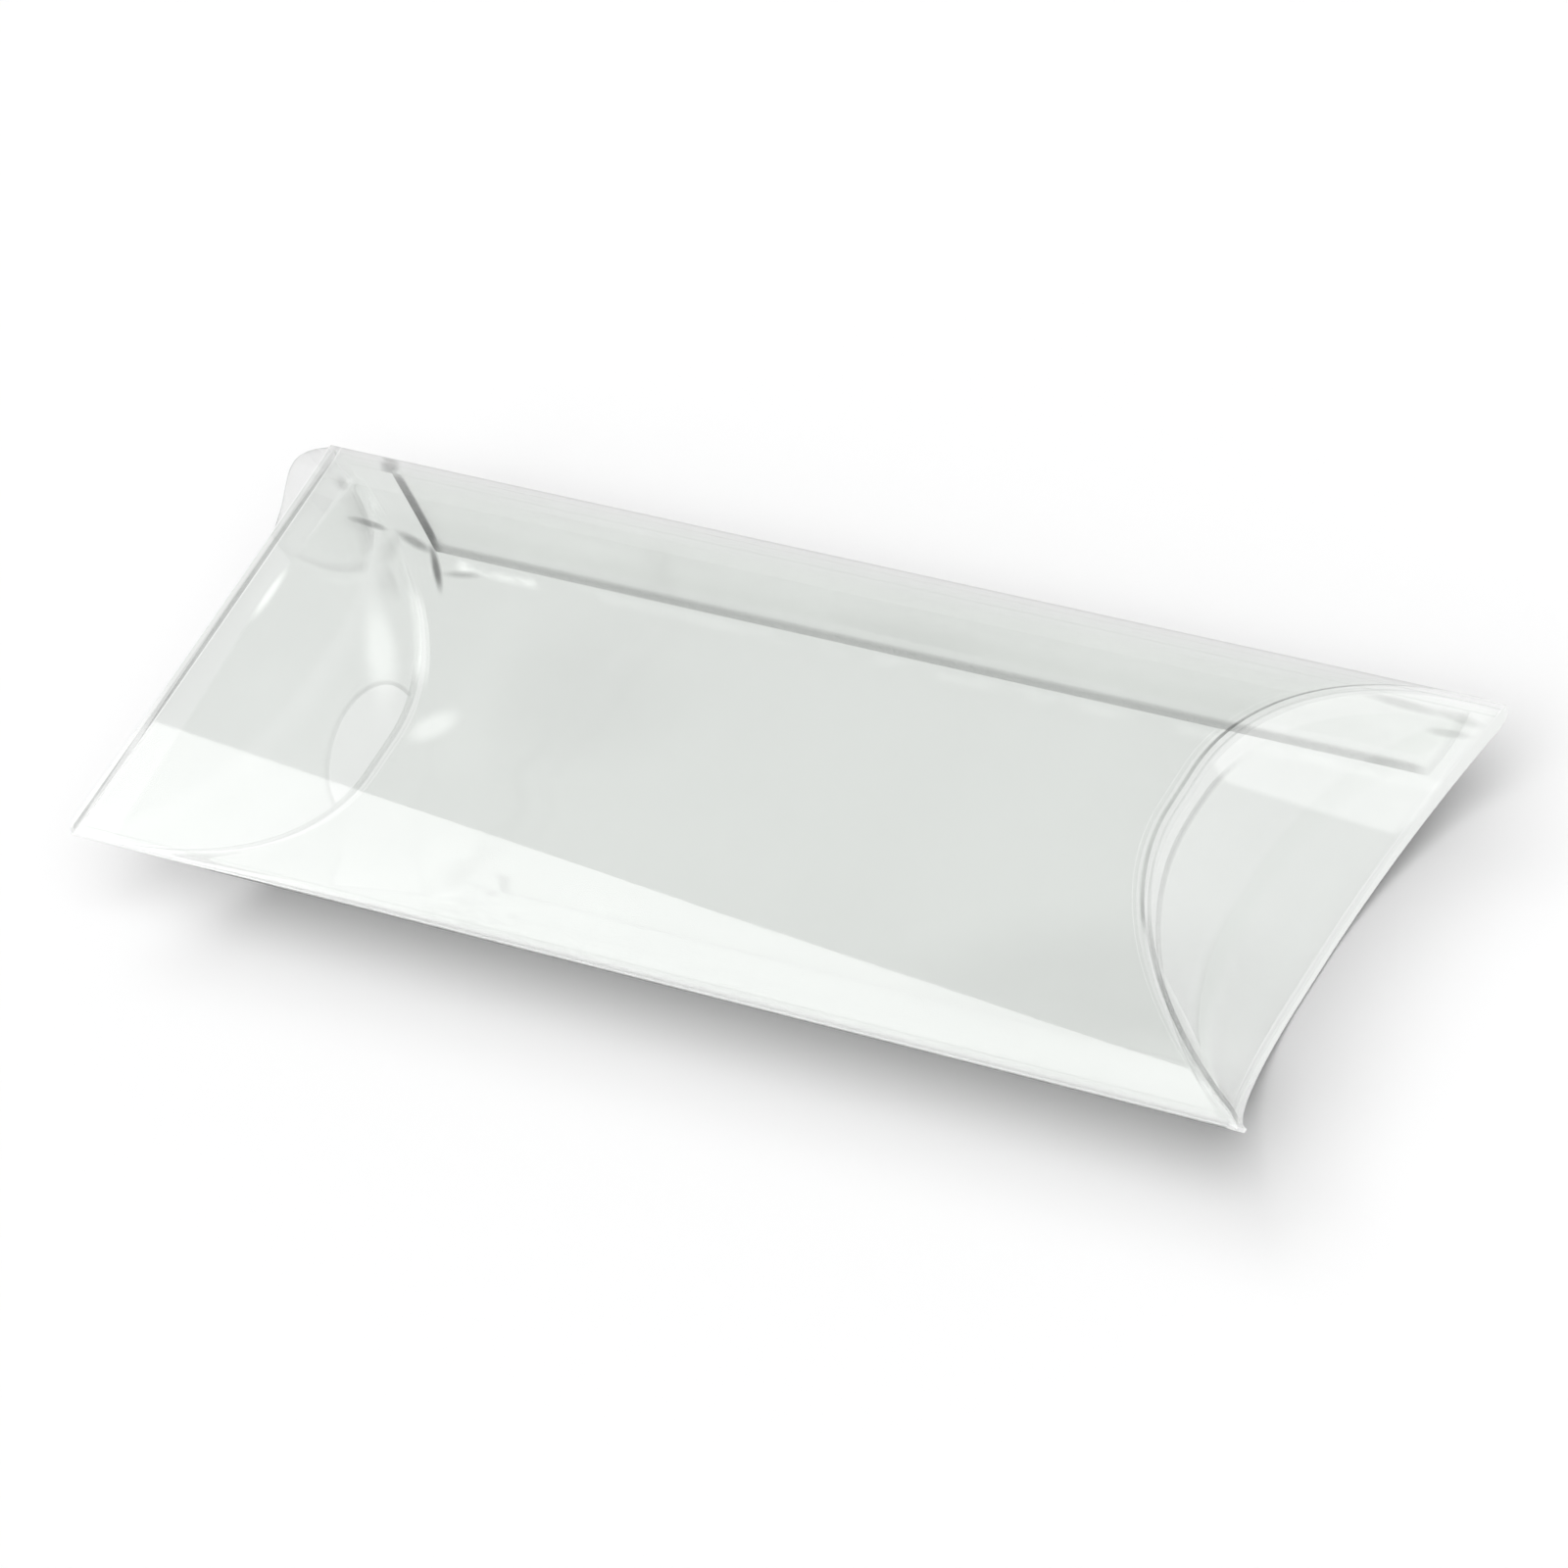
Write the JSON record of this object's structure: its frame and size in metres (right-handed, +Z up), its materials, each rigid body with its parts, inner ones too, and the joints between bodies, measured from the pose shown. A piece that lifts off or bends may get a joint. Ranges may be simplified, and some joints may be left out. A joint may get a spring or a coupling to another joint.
{
  "type": "pillow box",
  "caption": "Clear folded gift box: a bowed lens-shaped sleeve with curved-crease flaps that close both ends.",
  "frame": {"origin": "under the middle of the box, on the surface it rests on", "axes": "+X along the box to the end without the notch, +Y across to the glued fold, +Z up"},
  "size_m": [0.15, 0.0504, 0.03],
  "materials": {
    "clear_sheet": "clear, glossy",
    "scored_fold": "clear, pressed score line",
    "clear_glue": "clear glue"
  },
  "bodies": {
    "sleeve": {"top_panel": "clear_sheet", "bottom_panel": "clear_sheet", "front_fold": "scored_fold", "back_fold": "scored_fold", "glue_flap": "clear_sheet", "glue_line": "clear_glue", "left_bottom_crease": "scored_fold", "right_bottom_crease": "scored_fold"},
    "right_outer": {"right_top_crease": "scored_fold", "right_outer_flap": "clear_sheet"},
    "right_inner": {"right_inner_flap": "clear_sheet"},
    "left_outer": {"left_top_crease": "scored_fold", "left_outer_flap": "clear_sheet"},
    "left_inner": {"left_inner_flap": "clear_sheet"}
  },
  "joints": [
    {"name": "right_outer_flap_hinge", "type": "hinge", "parent": "sleeve", "child": "right_outer", "pos_m": [0.05858, 0, 0.03], "axis": [0, -1, 0], "range_deg": [0, 120], "stiffness_Nm_per_rad": 0.0005},
    {"name": "right_inner_flap_hinge", "type": "hinge", "parent": "sleeve", "child": "right_inner", "pos_m": [0.05958, 0, 0], "axis": [0, -1, 0], "range_deg": [0, 25], "stiffness_Nm_per_rad": 0.001},
    {"name": "left_outer_flap_hinge", "type": "hinge", "parent": "sleeve", "child": "left_outer", "pos_m": [-0.05858, 0, 0.03], "axis": [0, 1, 0], "range_deg": [0, 120], "stiffness_Nm_per_rad": 0.0005},
    {"name": "left_inner_flap_hinge", "type": "hinge", "parent": "sleeve", "child": "left_inner", "pos_m": [-0.05958, 0, 0], "axis": [0, 1, 0], "range_deg": [0, 25], "stiffness_Nm_per_rad": 0.001}
  ]
}
